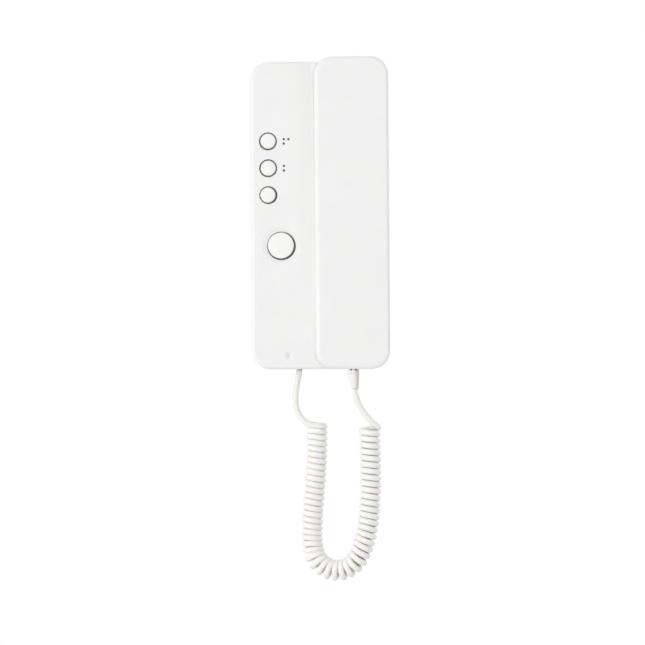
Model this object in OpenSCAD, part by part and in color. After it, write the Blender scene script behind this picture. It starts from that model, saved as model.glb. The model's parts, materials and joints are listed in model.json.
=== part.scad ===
// Audio intercom station: a wall base with keys, a handset in its cradle and a curly cord.
// X runs to the right, Z up, the wall is the plane Y = 0 and the front faces -Y.
// A depth is a distance in front of the wall, so it is -Y. All sizes are in millimetres.

/* [Base] */
// Width of the base
base_w = 90.5; // [90:0.5:93]
// Height of the base
base_h = 201.6; // [200.6:0.2:203]
// Corner radius of the base
base_corner = 12.5; // [11:0.5:14]
// Rounding of the base's front edge
base_edge = 2.4; // [1:0.2:3]
// Depth of the key panel's front
panel_d = 33; // [32.8:0.1:33.1]
// Depth of the cradle floor behind the handset
cradle_d = 22; // [21.8:0.1:22.2]
// Wall thickness of the base's mouldings
wall = 2.4; // [2.2:0.1:2.5]

/* [Wall plate] */
// Spacing of the two wall screws
screw_spacing = 83.5; // [76:0.5:86]
// Diameter of the wall screw holes
screw_hole_d = 4.5; // [4:0.1:5]
// Thickness of the wall plate
plate_t = 2.4; // [2:0.1:2.6]

/* [Keys] */
// Diameter of the small keys
key_d = 10; // [9.6:0.1:10.4]
// Diameter of the door key
door_key_d = 17; // [16.6:0.1:17.4]
// Gap around a key in its hole
key_gap = 0.9; // [0.5:0.05:1]
// Spacing of the small keys
key_pitch = 17.6; // [17:0.1:18]
// Travel of a key
key_travel = 1.2; // [0.8:0.1:1.2]

/* [Handset] */
// Width of the handset
handset_w = 48.8; // [48.4:0.2:49.2]
// How far the handset stands above the base
handset_rise = 2.7; // [2:0.1:5]
// Depth of the handset's front
handset_front_d = 42; // [42:0.5:45]
// Depth of the handset's back
handset_back_d = 23.4; // [23.2:0.1:23.6]
// Corner radius of the handset
handset_corner = 12; // [11:0.5:13]
// Rounding of the handset's edge beside the keys
grip_edge = 3.4; // [2.6:0.2:4]
// Rounding of the handset's other front edges
handset_edge = 2.2; // [1.6:0.2:3]
// Wall thickness of the handset's shells
shell_t = 2.2; // [2:0.1:2.4]

/* [Cord] */
// Diameter of the cord
cord_d = 2.8; // [2.6:0.1:2.8]
// Outside diameter of the curls
curl_d = 13; // [12.6:0.1:13]
// Spacing of the curls at the base's end
base_pitch = 3.9; // [3.9:0.05:4.2]
// Spacing of the curls at the handset's end
handset_pitch = 4.2; // [3.9:0.05:4.4]
// Least gap between neighbouring curls in the bend
curl_gap = 0.45; // [0.45:0.05:0.7]

/* [Hidden] */
$fn = 64;
post_fn = 32;
arc_steps = 5;

// How far joined solids run into each other, and how far a cut runs past a face
fuse = 0.5;
cut = 1;

// Handset: limits in X and Z, and where its two shells meet
base_x = base_w / 2;
base_z = base_h / 2;
handset_x = [base_x - handset_w, base_x];
handset_z = [-base_z, base_z + handset_rise];
handset_mid_x = (handset_x[0] + handset_x[1]) / 2;
split_d = 33.4;
seam = 0.25;
face_t = 1.8;
inner_edge = 0.6;

// Base: the step beside the handset, which follows the handset's lower corner
step_x = handset_x[0] + 2.1;
cradle_gap = 0.9;
rear_x = step_x + cradle_gap;
rear_corner = handset_corner - seam;
step_corner = [rear_x + rear_corner, handset_z[0] + seam + rear_corner];
step_corner_end = 240;
skirt_d = 0.8;
cradle_under = cradle_d - wall;
panel_under = panel_d - wall;

// Base: the valley that the panel has beside the handset, whose fall grows from its bottom end to its top
valley_x = -16;
valley_soft = 5;
valley_slope = 0.22;
valley_lead = 0.01;
valley_least = 0.03;
valley_cols = [30, 15, 10, 5, 3.75, 2.5, 1.25, 0, -5];
valley_rows = 8;

// Handset: the lip that comes down to the valley
lip_gap = 0.5;
lip_x = [handset_x[0] + 0.1, handset_x[0] + 1.8];
lip_z = -60;
lip_turn = 150;

// Wall plate
plate_gap = 0.4;
plate_x = base_x - wall - plate_gap;
plate_z = base_z - wall - plate_gap;
plate_corner = base_corner - wall - plate_gap;
rim_t = 1.6;
rim_d = 5;
cable_window = [4, 30, -20, 8];
window_corner = 2;
window_rim_d = 4;
hook_tab_x = [-22, 22];
tab_w = 8;
tab_t = 2.4;
tab_reach = 1.6;
tab_d = [6.4, 9];
tab_gap = 0.6;

// Cover screw: centre in X and depth, and the lug on the wall plate that takes it
cover_screw_at = [30, 9.8];
cover_screw_r = 1.3;
cover_screw_len = 12;
cover_head_r = 2.8;
cover_head_t = 2.2;
cover_head_taper = [1.2, 1];
cover_tip = 1;
cross_slot = [3.2, 0.7];
cover_head_z = -base_z + 0.2;
cover_boss_r = 4.4;
cover_boss_t = 4.4;
lug_z = [-base_z + 4.8, -base_z + 15];
lug_half = 5;
lug_d = 13.2;

// Circuit board and what it carries
board_d = [10, 11.6];
board_top = board_d[1];
board_x = [-41, -5];
board_z = [-62, 64];
tongue_x = [-27, -7];
tongue_z = -95;
board_posts = [[-37, 60], [-9, 60], [-37, -58], [-9, -58]];
board_post_r = 3.2;
board_screw_r = 1;
board_screw_head = [2.2, 1.5];
board_screw_d = 4;
capacitors = [[-16, 50], [-16, 38]];
capacitor_size = [4, 10.5];
chip_box = [-26, -14, 14, 22];
chip_t = 3.2;
coil_at = [-33, -48];
coil_r = [2, 4.5, 6];
coil_h = [1.5, 7, 8.5];
resistor_x = [-38, -30, -22];
resistor_z = [2.4, 4.6];
resistor_half = 3;
resistor_t = 2;
terminal_box = [-16, -6, -26, 6];
terminal_d = 21.8;
terminal_ways = 6;
terminal_pitch = 5;
terminal_screw_x = -11.5;
terminal_screw_r = 1.8;
terminal_screw_d = [16.6, 20.2];
terminal_slot = [0.6, 0.9];
wire_way = [1.5, 6, 14.6];
terminal_ledge = [1.4, 3];
switch_half = 3.1;
switch_d = 15.2;
switch_well_d = 12;
plunger_r = 1.7;
plunger_gap = 0.25;
plunger_d = 16.8;
speaker_at = [22, 18];
speaker_r = 14;
speaker_back_d = 10.4;
magnet_r = 7;
magnet_h = [2.6, 3.2];
frame_flare = 2;
rim_w = 2;
rim_h = 2;
cone_r = 5;
cone_drop = [3.2, 2.6];
collar_t = 1.3;
collar_h = 4;
slot_count = 5;
slot_pitch = 4;
slot_size = [16, 1.6];

// Keys: centre of each hole in X and Z, from the top down, and how far each key stands off it
key_x = -33.7;
key_top_z = 48.6;
key_places = [for (i = [0 : 2]) [key_x, key_top_z - i * key_pitch]];
door_place = [-25.4, -19.9];
all_key_places = concat(key_places, [door_place]);
key_off = [[0, 0.2], [0, 0.1], [-0.3, 0.1], [-0.35, 0.25]];
key_proud = [0.5, 0.5, 1];
door_proud = 0.8;
key_stem_r = 2.5;
door_stem_r = 3;
key_collar = 2;
key_collar_d = [panel_under - 1.8, panel_under - 0.4];
key_edge = 0.9;
key_crown = 0.3;
dish_d = 24.8;
dish_rim = 1.5;
dish_drop = 0.8;

// Indicator: a light pipe at the bottom of a small dimple
lamp_at = [-21.2, -91.9];
lamp_r = 0.7;
lamp_gap = 0.1;
lamp_sunk = 1.3;
dimple_r = 2.9;
pipe_r = 1.6;
pipe_flange = [3, 1.4];
pipe_back_d = board_top + 3.6;
led_r = 1.5;
led_foot = [1.8, 0.8];
led_dome_d = board_top + 1.8;

// Ear and mouth pieces of the handset, and the wells for them in the base
ear_z = 72;
mouth_z = -76;
ear_r = 17;
mouth_r = 12;
ear_face_d = 16;
mouth_face_d = 18;
ear_seat_r = 15;
mouth_seat_r = 9.6;
ear_hole_r = 1.1;
mouth_hole_r = 0.9;
sound_pitch = 4;
boss_edge = 1.6;
boss_dish = 0.6;
boss_back = 3;
well_gap = 2;
well_wall = 2;
well_lip = 1.6;
ear_floor_d = 14;
mouth_floor_d = 15.6;
receiver_r = 14.6;
receiver_d = [ear_face_d + 2.8, ear_face_d + 7, ear_face_d + 8.6, ear_face_d + 11.6];
receiver_cone = [4, 10, 4.4, 3.4];
receiver_magnet_r = 9.5;
gasket_r = 10.6;
microphone_r = 4.85;
microphone_d = [mouth_face_d + 2.4, mouth_face_d + 9];
boot_gap = 0.05;
boot_r = [mouth_seat_r - 0.1, 7];
boot_d = [mouth_face_d + face_t, mouth_face_d + 4, mouth_face_d + 6, mouth_face_d + 8.4];

// Handset: inside of the shells
ledge_x = rear_x + 2.3;
ledge_t = 2;
back_arch = 2;
arch_half = 68;
arch_steps = 12;
far = 300;
handset_screw_z = [38, -38];
handset_screw_r = 1.2;
handset_head = [2.8, 2.2];
handset_screw_tip = 5.5;
pillar_r = [3.6, 4.6];
pillar_head_r = 3.2;
pillar_floor_t = 2.4;
pillar_back = 4;
wire_r = 0.6;

// Hook lever
hook_pivot = [-46, 13.5];
pin_r = 1.5;
pin_fit = [0.02, 0.06];
hub_r = 3.5;
hub_half = 6.5;
hub_x = [handset_mid_x - hub_half, handset_mid_x + hub_half];
hub_gap = 0.4;
cheek_t = 2.6;
cheek_half = 4;
hook_slot_half = 4.2;
hook_slot_z = [-30.5, -14.5];
tongue_w = 6;
tongue_tip = [21, 3.6];
tongue_tip_z = [-24.4, -20.6];
tongue_root = [15, -28, -17];
arm_d = [14.2, 16.6];
foot_z = [-36.2, -32.8];
foot_d = [15.1, 17.2];
foot_x = -12.4;
microswitch_box = [-14.4, -7.4, -41, -28.4];
microswitch_d = 14.2;
microswitch_button = [-12.2, -9.6, -36, -33];
microswitch_button_d = 15;
spring_z = -30;
spring_d = [4.4, 14.2];
spring_r = 2.6;
spring_wire = 0.7;
spring_turns = 6;
spring_seat_r = 4;
spring_peg = [1.6, 3.6];

// Cord exits: the plug in the base and the plug in the handset
base_exit = [-14.2, -97];
base_exit_d = 17.5;
notch_r = 2.2;
base_jack_half = 4.8;
base_jack_top_z = -80.5;
base_jack_d = 23.4;
base_socket = [4, -83.6, 14, 21];
base_plug_half = 3.8;
base_plug_top_z = -84;
base_plug_d = [14.2, 20.8];
contact_pitch = 1.2;
contact_w = 0.6;
contact_z = -90;
contact_t = 0.8;
plug_x = 21.1;
plug_d = 34.8;
plug_end_z = -113.7;
plug_half = [3.8, 3.3];
plug_neck = 3;
plug_in = 11.6;
plug_tail = [-1.5, 3.4];
plug_tail_half = 3;
plug_bevel = 1.4;
latch_slots = [-1.4, 1.5];
latch_slot_w = 1.3;
latch_slot_t = 3;
latch_slot_z = -1;
socket_gap = 0.3;
socket_t = 1;
jack_half_w = 6;
jack_in = [2.6, 17];
jack_top_z = handset_z[0] + jack_in[1];

// Wires inside the handset: the pins that they start from and the depths that they run at
receiver_pin = 3;
receiver_pin_z = 6;
receiver_wire_d = 38;
microphone_pin = 2;
microphone_wire_d = 34.8;
wire_rise = 3;
wire_x = 10;

// Axis of the curls, as X, depth and Z: down the base's leg, round the bend and up the handset's leg
base_leg = [
    [-3, 13, -138], [-3.1, 13, -148], [-3.5, 13, -161], [-4.4, 13, -174.5], [-5.5, 13, -187.5],
    [-6.4, 13, -199.5], [-6.8, 13.2, -209.5], [-6.6, 13.8, -216.4]
];
bend_mid = [9.4, -218];
bend_r = 15.5;
bend_d = [15, 28.4];
bend_turn = [18, 150];
bend_steps = 6;
function between(pair, f) = pair[0] + (pair[1] - pair[0]) * f;
bend = [for (i = [0 : bend_steps]) let (f = i / bend_steps, a = between(bend_turn, f)) [
    bend_mid[0] - bend_r * cos(a),
    between(bend_d, f),
    bend_mid[1] - bend_r * sin(a)
]];
handset_leg = [
    [25.6, 29.8, -219.8], [28, 30.5, -213], [29.6, 30.8, -205.6], [30.6, 30.8, -198],
    [31.3, 30.8, -189.5], [31.8, 30.8, -180], [31.9, 30.8, -169.5], [31.8, 30.8, -158.5],
    [31.6, 30.8, -149], [31.4, 30.8, -140]
];
curl_route = concat(base_leg, bend, handset_leg);
// Routes of the two plain tails, as X, depth and Z, from each plug to where the curls begin
base_tail_route = [
    [-14.2, 17.5, -97], [-14.2, 17.5, -101], [-15.2, 17.6, -107], [-16.5, 17.7, -114],
    [-17, 17.8, -120.5], [-16.4, 17.9, -126.6], [-14, 18, -132.2], [-10.4, 18.1, -136]
];
handset_tail_route = [
    [22, 34.8, -113.7], [22.1, 34.8, -116.6], [23.4, 34.8, -121], [25.3, 34.8, -125.4],
    [27.8, 34.8, -129.6], [30.8, 34.6, -133.2], [34, 33.9, -136.4], [36.6, 32.4, -138.6]
];
curl_r = (curl_d - cord_d) / 2;
rings_per_curl = 8;
curl_sides = 6;
tail_sides = 8;
tail_steps = 2;
axis_steps = 12;
end_phase = 125;

// A plate between two depths, from a flat shape drawn in X and Z
module plate(d0, d1)
    translate([0, -d0, 0])
    rotate([90, 0, 0])
    linear_extrude(d1 - d0)
    children();

// A round rod along the depth
module rod(x, z, d0, d1, r)
    translate([x, -d0, z])
    rotate([90, 0, 0])
    cylinder(h = d1 - d0, r = r);

// A solid turned about an axis along the depth, from a profile of radius and depth
module turned(x, z, profile)
    translate([x, 0, z])
    rotate([90, 0, 0])
    rotate_extrude()
    polygon(profile);

// A box from its limits in X, Z and depth
module block(x0, x1, z0, z1, d0, d1)
    translate([x0, -d1, z0])
    cube([x1 - x0, d1 - d0, z1 - z0]);

function arc(cx, cz, r, a0, a1, steps = 8) =
    [for (i = [0 : steps]) let (a = a0 + (a1 - a0) * i / steps) [cx + r * cos(a), cz + r * sin(a)]];

function rounded_points(x0, x1, z0, z1, r) = concat(
    arc(x1 - r, z0 + r, r, -90, 0),
    arc(x1 - r, z1 - r, r, 0, 90),
    arc(x0 + r, z1 - r, r, 90, 180),
    arc(x0 + r, z0 + r, r, 180, 270));

// Profile of a corner post with a rounded back end and a rounded front end
function post_profile(r, h, back, front) = concat(
    [[0, 0]],
    back > 0 ? arc(r - back, back, back, -90, 0, arc_steps) : [[r, 0]],
    front > 0 ? arc(r - front, h - front, front, 0, 90, arc_steps) : [[r, h]],
    [[0, h]]);

module corner_post(x, z, d0, d1, r, back, front)
    translate([x, -d0, z])
    rotate([90, 0, 0])
    rotate_extrude($fn = post_fn)
    polygon(post_profile(r, d1 - d0, back, front));

// A moulded box with round corners, whose front edge is rounded by left and right, and its back edge by back
module soft_box(x0, x1, z0, z1, d0, d1, r, left, right, back = 0)
    hull()
    for (z = [z0 + r, z1 - r]) {
        corner_post(x0 + r, z, d0, d1, r, back, left);
        corner_post(x1 - r, z, d0, d1, r, back, right);
    }

// Sweeps of round cord
function unit(v) = v / norm(v);
function lay(p) = [p[0], -p[1], p[2]];
function spline(p0, p1, p2, p3, t) =
    0.5 * (2 * p1 + (p2 - p0) * t + (2 * p0 - 5 * p1 + 4 * p2 - p3) * t * t
        + (3 * p1 - p0 - 3 * p2 + p3) * t * t * t);
function at(points, i) =
    i < 0 ? 2 * points[0] - points[1]
    : i >= len(points) ? 2 * points[len(points) - 1] - points[len(points) - 2]
    : points[i];
function on_spline(points, u) =
    let (i = min(floor(u), len(points) - 2))
    spline(at(points, i - 1), at(points, i), at(points, i + 1), at(points, i + 2), u - i);
function smooth(points, steps) =
    [for (k = [0 : (len(points) - 1) * steps]) on_spline(points, k / steps)];
function heading(points, i) = unit(at(points, i + 1) - at(points, i - 1));
function cord_ring(centre, side, up, r, sides) =
    [for (k = [0 : sides - 1]) centre + r * (cos(360 * k / sides) * side + sin(360 * k / sides) * up)];
function tube_faces(rings, sides) = concat(
    [for (i = [0 : rings - 2], k = [0 : sides - 1])
        [i * sides + k, (i + 1) * sides + k, (i + 1) * sides + (k + 1) % sides]],
    [for (i = [0 : rings - 2], k = [0 : sides - 1])
        [i * sides + k, (i + 1) * sides + (k + 1) % sides, i * sides + (k + 1) % sides]],
    [for (k = [1 : sides - 2]) [0, k, k + 1]],
    [for (k = [1 : sides - 2]) (rings - 1) * sides * [1, 1, 1] + [0, k + 1, k]]);

// A tube along points, with its rings square to the route; hint is a direction that the route never takes
module tube(points, headings, hints, r, sides)
    polyhedron(
        points = [for (i = [0 : len(points) - 1])
            let (side = unit(cross(hints[i], headings[i])))
            each cord_ring(points[i], side, cross(headings[i], side), r, sides)],
        faces = tube_faces(len(points), sides));

module plain_tube(points, first, last, hint, r, sides)
    tube(
        points,
        [for (i = [0 : len(points) - 1])
            i == 0 ? first : i == len(points) - 1 ? last : heading(points, i)],
        [for (p = points) hint],
        r, sides);

// The curls: a left-handed helix about the smooth axis, spaced so that the inside of the bend stays open
curl_axis = smooth([for (p = curl_route) lay(p)], axis_steps);
axis_last = len(curl_axis) - 1;
bend_reach = 5;
function bend_at(i) =
    let (k = max(bend_reach + 1, min(axis_last - bend_reach - 1, i)),
        turned_by = norm(heading(curl_axis, k + bend_reach) - heading(curl_axis, k - bend_reach)))
    turned_by / norm(curl_axis[k + bend_reach] - curl_axis[k - bend_reach]);
function bend_near(i) = max(bend_at(i - bend_reach), bend_at(i), bend_at(i + bend_reach));
function pitch_at(i) = max(
    between([base_pitch, handset_pitch], i / axis_last),
    (cord_d + curl_gap) / (1 - curl_r * bend_near(i)));
turns_table = [
    for (i = 0, n = 0; i <= axis_last; n = n + norm(at(curl_axis, i + 1) - curl_axis[i]) / pitch_at(i),
        i = i + 1) [n, i]
];
free_turns = turns_table[axis_last][0];
curls = floor(free_turns) + 1 - end_phase / 360;
curl_rings = round(curls * rings_per_curl);
function axis_step(k) = lookup(k / curl_rings * free_turns, turns_table);
function axis_point(k) = on_spline(curl_axis, axis_step(k));
function axis_heading(k) =
    unit(on_spline(curl_axis, min(axis_step(k) + 0.5, axis_last))
        - on_spline(curl_axis, max(axis_step(k) - 0.5, 0)));
front = [0, -1, 0];
down = [0, 0, -1];
function spoke(k) =
    let (t = axis_heading(k), a = unit(front - (front * t) * t), turn = -360 * curls * k / curl_rings)
    cos(turn) * a + sin(turn) * cross(t, a);
helix = [for (k = [0 : curl_rings]) axis_point(k) + curl_r * spoke(k)];
first_heading = unit(-3 * helix[0] + 4 * helix[1] - helix[2]);
last_heading = unit(3 * helix[curl_rings] - 4 * helix[curl_rings - 1] + helix[curl_rings - 2]);
curl_start = helix[0] - cord_d * first_heading;
curl_end = helix[curl_rings] + cord_d * last_heading;
curl_points = concat([curl_start], helix, [curl_end]);
curl_headings = [for (i = [0 : curl_rings + 2])
    i <= 1 ? first_heading : i >= curl_rings + 1 ? last_heading : heading(curl_points, i)];
curl_hints = [for (i = [0 : curl_rings + 2]) spoke(max(0, min(curl_rings, i - 1)))];

function length_of(points) =
    let (steps = [for (i = [0 : len(points) - 2]) norm(points[i + 1] - points[i])])
    steps * [for (s = steps) 1];

base_tail = smooth(concat([for (p = base_tail_route) lay(p)], [curl_start]), tail_steps);
handset_tail = smooth(concat([for (p = handset_tail_route) lay(p)], [curl_end]), tail_steps);

union() {  // cord_curls
    far_rings = rings_per_curl - 3;
    spans = [for (i = [0 : curl_rings], j = [i + far_rings : 1 : curl_rings]) norm(helix[i] - helix[j])];
    echo(curls = curls, least_gap = min(spans) - cord_d);
    echo(cord_length = length_of(base_tail) + length_of(curl_points) + length_of(handset_tail));
}

// Base: the plate on the wall
module wall_plate()
    color("gainsboro")
    difference() {
        union() {
            plate(0, plate_t) plate_outline(0);
            plate(plate_t - fuse, rim_d)
                difference() {
                    plate_outline(0);
                    plate_outline(rim_t);
                }
            for (p = board_posts) rod(p[0], p[1], plate_t - fuse, board_d[0], board_post_r);
            rod(handset_mid_x, spring_z, plate_t - fuse, spring_d[0], spring_seat_r);
            rod(handset_mid_x, spring_z, plate_t - fuse, spring_d[0] + spring_peg[1], spring_peg[0]);
            for (x = hook_tab_x) hook_tab(x);
            block(cover_screw_at[0] - lug_half, cover_screw_at[0] + lug_half, lug_z[0], lug_z[1],
                plate_t - fuse, lug_d);
            plate(plate_t - fuse, window_rim_d)
                difference() {
                    window_outline(rim_t);
                    window_outline(0);
                }
        }
        for (z = [-screw_spacing / 2, screw_spacing / 2]) rod(0, z, -cut, rim_d, screw_hole_d / 2);
        plate(-cut, rim_d) window_outline(0);
        for (p = board_posts) rod(p[0], p[1], plate_t, board_d[0] + cut, board_screw_r + pin_fit[1]);
        translate([cover_screw_at[0], -cover_screw_at[1], lug_z[0] - cut])
            cylinder(h = cover_screw_len - cover_head_t, r = cover_screw_r + pin_fit[1]);
    }

module plate_outline(t)
    polygon(rounded_points(-plate_x + t, plate_x - t, -plate_z + t, plate_z - t, plate_corner - t));

module window_outline(t)
    polygon(rounded_points(cable_window[0] - t, cable_window[1] + t, cable_window[2] - t,
        cable_window[3] + t, window_corner + t));

// A tab at the plate's top edge that hooks into the cover
module hook_tab(x) {
    root_z = plate_z - rim_t - tab_t;
    block(x - tab_w / 2, x + tab_w / 2, root_z, root_z + tab_t, plate_t - fuse, tab_d[1]);
    block(x - tab_w / 2, x + tab_w / 2, root_z, plate_z + tab_reach, tab_d[0], tab_d[1]);
}

// Base: the moulded cover, with the key panel, the valley beside the handset and the cradle
function valley_drop(x) =
    x < 0 ? valley_lead * x
    : x < valley_soft ? valley_slope * x * x / (2 * valley_soft)
    : valley_slope * (x - valley_soft / 2);
function valley_share(z) =
    valley_least + (1 - valley_least) * pow((z + base_z + cut) / (base_h + 2 * cut), 2);
valley_z = [for (i = [0 : valley_rows]) (base_h + 2 * cut) * i / valley_rows - base_z - cut];

// What the valley takes from the panel, down to t below its surface
function valley_section(t, z) = concat(
    [[valley_x + max(valley_cols), -panel_d - cut, z]],
    [for (x = valley_cols) [valley_x + x, t - panel_d + valley_share(z) * valley_drop(x), z]],
    [[valley_x + min(valley_cols), -panel_d - cut, z]]);
module valley_cut(t)
    polyhedron(
        points = [for (z = valley_z) each valley_section(t, z)],
        faces = tube_faces(len(valley_z), len(valley_cols) + 2));

// Outline of the cradle, whose lower left corner follows the handset's
module cradle_outline(t)
    polygon(concat(
        [[base_x + cut, base_z + cut], [step_x - t, base_z + cut]],
        arc(step_corner[0], step_corner[1], step_corner[0] - step_x + t, 180, step_corner_end),
        [[step_corner[0] + (step_corner[0] - step_x + t) * cos(step_corner_end), -base_z - cut],
            [base_x + cut, -base_z - cut]]));

module cover_form(t, d0)
    difference() {
        soft_box(-base_x + t, base_x - t, -base_z + t, base_z - t, d0, panel_d - t, base_corner - t,
            max(base_edge - t, inner_edge), max(base_edge - t, inner_edge));
        valley_cut(t);
        plate(cradle_d - t, panel_d + cut) cradle_outline(t);
    }

module well_cup(z, r, floor_d)
    rod(handset_mid_x, z, floor_d - well_wall, cradle_d - fuse, r + well_gap + well_wall);

module well_hole(z, r, floor_d) {
    rod(handset_mid_x, z, floor_d, cradle_d + cut, r + well_gap);
    flare(handset_mid_x, z, cradle_d, r + well_gap, well_lip, well_lip / 2);
}

// A shallow cone cut into a face at a depth, wider by spread at the face than at its floor
module flare(x, z, face_d, r, spread, drop)
    translate([x, drop - face_d, z])
    rotate([90, 0, 0])
    cylinder(h = 2 * drop, r1 = r, r2 = r + 2 * spread);

module front_cover()
    color("white")
    difference() {
        union() {
            difference() {
                cover_form(0, skirt_d);
                cover_form(wall, -cut);
            }
            well_cup(ear_z, ear_r, ear_floor_d);
            well_cup(mouth_z, mouth_r, mouth_floor_d);
            for (x = [hub_x[0] - hub_gap - cheek_t, hub_x[1] + hub_gap])
                block(x, x + cheek_t, hook_pivot[0] - cheek_half, hook_pivot[0] + cheek_half,
                    hook_pivot[1] - cheek_half, cradle_d - fuse);
            speaker_collar();
            translate([cover_screw_at[0], -cover_screw_at[1], -base_z + wall - fuse])
                cylinder(h = cover_boss_t - wall + fuse, r = cover_boss_r);
        }
        well_hole(ear_z, ear_r, ear_floor_d);
        well_hole(mouth_z, mouth_r, mouth_floor_d);
        for (p = key_places) rod(p[0], p[1], panel_under - cut, panel_d + cut, key_d / 2 + key_gap);
        rod(door_place[0], door_place[1], panel_under - cut, panel_d + cut, door_key_d / 2 + key_gap);
        flare(door_place[0], door_place[1], panel_d, dish_d / 2 - dish_rim, dish_rim, dish_drop);
        rod(lamp_at[0], lamp_at[1], panel_under - cut, panel_d + cut, lamp_r + pin_fit[0]);
        flare(lamp_at[0], lamp_at[1], panel_d, lamp_r + pin_fit[0], dimple_r - lamp_r - pin_fit[0],
            lamp_sunk);
        translate([0, -hook_pivot[1], hook_pivot[0]])
            rotate([0, 90, 0])
            cylinder(h = hub_x[1] + cheek_t + cut, r = pin_r + pin_fit[0]);
        block(handset_mid_x - hook_slot_half, handset_mid_x + hook_slot_half, hook_slot_z[0],
            hook_slot_z[1], cradle_under - cut, cradle_d + cut);
        speaker_slots();
        for (x = hook_tab_x)
            block(x - tab_w / 2 - tab_gap, x + tab_w / 2 + tab_gap, plate_z - cut,
                plate_z + tab_reach + plate_gap, tab_d[0] - tab_gap, tab_d[1] + tab_gap);
        cord_notch();
        translate([cover_screw_at[0], -cover_screw_at[1], -base_z - cut])
            cylinder(h = cover_boss_t + 2 * cut, r = cover_screw_r + fuse);
        translate([cover_screw_at[0], -cover_screw_at[1], -base_z - cut])
            cylinder(h = cover_head_z + cover_head_t + base_z + cut, r = cover_head_r + plate_gap);
    }

module speaker_slots()
    for (i = [0 : slot_count - 1])
        let (z = speaker_at[1] + (i - (slot_count - 1) / 2) * slot_pitch)
        block(speaker_at[0] - slot_size[0] / 2, speaker_at[0] + slot_size[0] / 2, z - slot_size[1] / 2,
            z + slot_size[1] / 2, cradle_under - cut, cradle_d + cut);

module speaker_collar()
    plate(cradle_under - collar_h, cradle_under + fuse)
    translate(speaker_at)
    difference() {
        circle(speaker_r + hub_gap + collar_t);
        circle(speaker_r + hub_gap);
    }

module cord_notch() {
    block(base_exit[0] - notch_r, base_exit[0] + notch_r, -base_z - cut, -base_z + wall + fuse,
        0, base_exit_d);
    translate([base_exit[0], -base_exit_d, -base_z - cut])
        cylinder(h = wall + fuse + cut, r = notch_r);
}

// Base: electronics
module circuit_board()
    color("seagreen")
    difference() {
        plate(board_d[0], board_d[1])
            polygon([
                [board_x[0], board_z[1]], [board_x[0], board_z[0]], [tongue_x[0], board_z[0]],
                [tongue_x[0], tongue_z], [tongue_x[1], tongue_z], [tongue_x[1], board_z[0]],
                [board_x[1], board_z[0]], [board_x[1], board_z[1]]
            ]);
        for (p = board_posts)
            rod(p[0], p[1], board_d[0] - cut, board_d[1] + cut, board_screw_r + plunger_gap);
    }

module board_screws()
    color("silver")
    for (p = board_posts) turned(p[0], p[1], [
        [0, board_screw_d], [board_screw_r, board_screw_d], [board_screw_r, board_top],
        [board_screw_head[0], board_top], [board_screw_head[0], board_top + board_screw_head[1] / 2],
        [board_screw_head[0] * 2 / 3, board_top + board_screw_head[1]], [0, board_top + board_screw_head[1]]
    ]);

module board_components()
    color("dimgray") {
        for (p = capacitors) turned(p[0], p[1], [
            [0, board_top], [capacitor_size[0], board_top],
            [capacitor_size[0], board_top + capacitor_size[1] - fuse],
            [capacitor_size[0] - fuse, board_top + capacitor_size[1]], [0, board_top + capacitor_size[1]]
        ]);
        block(chip_box[0], chip_box[1], chip_box[2], chip_box[3], board_top, board_top + chip_t);
        turned(coil_at[0], coil_at[1], [
            [coil_r[0], board_top], [coil_r[2], board_top], [coil_r[2], board_top + coil_h[0]],
            [coil_r[1], board_top + coil_h[0]], [coil_r[1], board_top + coil_h[1]],
            [coil_r[2], board_top + coil_h[1]], [coil_r[2], board_top + coil_h[2]],
            [coil_r[0], board_top + coil_h[2]]
        ]);
        for (x = resistor_x)
            block(x - resistor_half, x + resistor_half, resistor_z[0], resistor_z[1],
                board_top, board_top + resistor_t);
    }

module terminal_block()
    color("darkgreen")
    difference() {
        block(terminal_box[0], terminal_box[1], terminal_box[2], terminal_box[3], board_top, terminal_d);
        for (z = terminal_rows()) {
            rod(terminal_screw_x, z, terminal_screw_d[0], terminal_d + cut, terminal_screw_r + lamp_gap);
            translate([terminal_box[1] - wire_way[1], -wire_way[2], z])
                rotate([0, 90, 0])
                cylinder(h = wire_way[1] + cut, r = wire_way[0]);
        }
        block(terminal_box[0] - cut, terminal_box[0] + terminal_ledge[0], terminal_box[2] - cut,
            terminal_box[3] + cut, terminal_d - terminal_ledge[1], terminal_d + cut);
    }

function terminal_rows() =
    let (mid = (terminal_box[2] + terminal_box[3]) / 2)
    [for (i = [0 : terminal_ways - 1]) mid + (i - (terminal_ways - 1) / 2) * terminal_pitch];

module terminal_screws()
    color("silver")
    for (z = terminal_rows())
        difference() {
            rod(terminal_screw_x, z, terminal_screw_d[0], terminal_screw_d[1], terminal_screw_r);
            block(terminal_screw_x - terminal_screw_r - cut, terminal_screw_x + terminal_screw_r + cut,
                z - terminal_slot[0] / 2, z + terminal_slot[0] / 2,
                terminal_screw_d[1] - terminal_slot[1], terminal_screw_d[1] + cut);
        }

module key_switches()
    color("black")
    for (p = all_key_places)
        difference() {
            block(p[0] - switch_half, p[0] + switch_half, p[1] - switch_half, p[1] + switch_half,
                board_top, switch_d);
            rod(p[0], p[1], switch_well_d, switch_d + cut, plunger_r + plunger_gap);
        }

module call_speaker()
    color("slategray")
    turned(speaker_at[0], speaker_at[1], [
        [0, speaker_back_d], [magnet_r, speaker_back_d], [magnet_r, speaker_back_d + magnet_h[0]],
        [magnet_r + frame_flare, speaker_back_d + magnet_h[1]], [speaker_r - fuse, cradle_under - rim_h],
        [speaker_r, cradle_under - rim_h], [speaker_r, cradle_under], [speaker_r - rim_w, cradle_under],
        [cone_r, cradle_under - cone_drop[0]], [0, cradle_under - cone_drop[1]]
    ]);

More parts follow.
